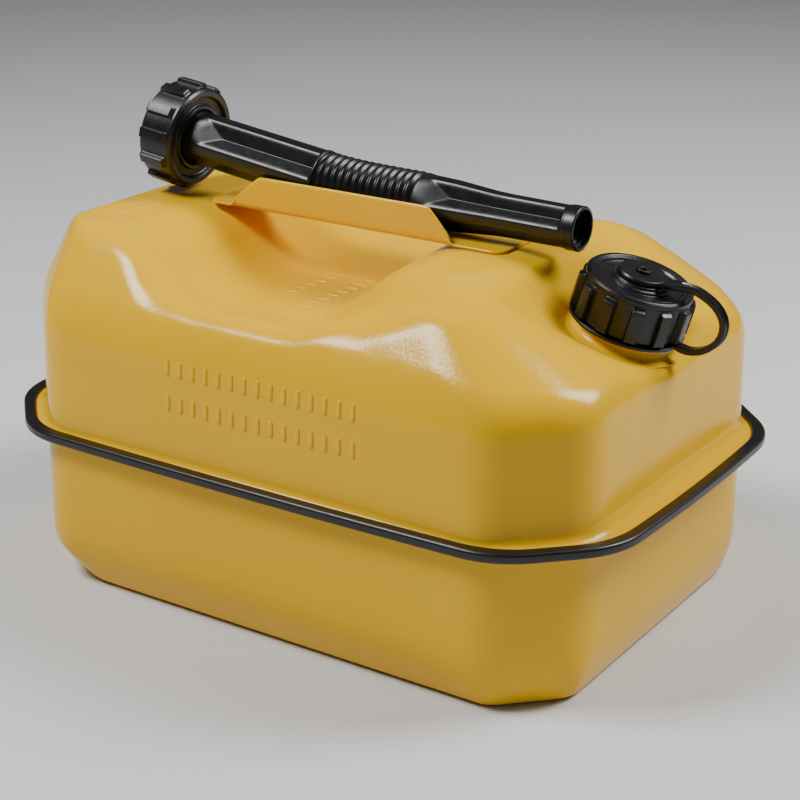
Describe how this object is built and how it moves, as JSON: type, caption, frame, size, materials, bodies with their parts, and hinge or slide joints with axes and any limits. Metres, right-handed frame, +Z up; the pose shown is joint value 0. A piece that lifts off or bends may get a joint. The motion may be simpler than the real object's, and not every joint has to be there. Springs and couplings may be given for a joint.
{
  "type": "jerry can",
  "caption": "Low steel fuel can of two pressed shells with a trimmed seam, a screw cap on a leash, a strap handle and a flexible pouring spout stowed along it.",
  "frame": {"origin": "on the surface the can stands on, below the centre of the edge trim", "axes": "+X along the can towards the filler neck, +Y across it, +Z up"},
  "size_m": [0.3585, 0.2456, 0.237],
  "materials": {
    "lower_shell": "glossy yellow paint",
    "upper_shell": "glossy yellow paint",
    "edge_trim": "satin black extruded plastic",
    "filler_neck": "glossy yellow paint",
    "cap_seal": "matt black rubber",
    "cap": "satin black moulded plastic",
    "leash_ring": "satin black moulded plastic",
    "leash_eye": "satin black moulded plastic",
    "leash_stud": "satin black moulded plastic",
    "leash_strap": "satin black moulded plastic",
    "handle_bracket": "glossy yellow paint",
    "spout_nut": "satin black moulded plastic",
    "spout_base_tube": "satin black moulded plastic",
    "spout_gasket": "matt black rubber",
    "spout_outlet_tube": "satin black moulded plastic",
    "spout_bellows": "satin black moulded plastic"
  },
  "bodies": {
    "can": {"lower_shell": "lower_shell", "upper_shell": "upper_shell", "edge_trim": "edge_trim", "filler_neck": "filler_neck", "handle_bracket": "handle_bracket"},
    "leash": {"leash_ring": "leash_ring", "leash_strap": "leash_strap"},
    "strap_eye": {"leash_eye": "leash_eye"},
    "seal": {"cap_seal": "cap_seal"},
    "cap": {"cap": "cap", "leash_stud": "leash_stud"},
    "spout": {"spout_base_tube": "spout_base_tube", "spout_gasket": "spout_gasket", "spout_bellows": "spout_bellows"},
    "nut": {"spout_nut": "spout_nut"},
    "outlet": {"spout_outlet_tube": "spout_outlet_tube"}
  },
  "joints": [
    {"name": "leash_swivel", "type": "hinge", "parent": "can", "child": "leash", "pos_m": [0.1387, 0, 0.175], "axis": [0.284, 0, 0.9588], "range_deg": [-30, 30]},
    {"name": "leash_rise", "type": "slide", "parent": "leash", "child": "strap_eye", "axis": [0.284, 0, 0.9588], "range_m": [0, 0.0121], "deforming": ["leash_strap"]},
    {"name": "cap_lift", "type": "slide", "parent": "can", "child": "seal", "axis": [0.284, 0, 0.9588], "range_m": [0, 0.012]},
    {"name": "cap_turn", "type": "hinge", "parent": "seal", "child": "cap", "pos_m": [0.1387, 0, 0.175], "axis": [0.284, 0, 0.9588], "range_deg": [0, 1081]},
    {"name": "spout_lift", "type": "slide", "parent": "can", "child": "spout", "axis": [0, 0, 1], "range_m": [0, 0.08]},
    {"name": "nut_turn", "type": "hinge", "parent": "spout", "child": "nut", "pos_m": [-0.116, 0, 0.207], "axis": [0.9919, 0, -0.1271], "continuous": true},
    {"name": "spout_bend", "type": "hinge", "parent": "spout", "child": "outlet", "pos_m": [-0.0065, 0, 0.1945], "axis": [0, -1, 0], "range_deg": [0, 60], "deforming": ["spout_bellows"]}
  ],
  "couplings": [
    {"joint": "cap_turn", "follows": "cap_lift", "rad_per_m": 1570.8},
    {"joint": "leash_rise", "follows": "cap_lift", "ratio": 1}
  ]
}
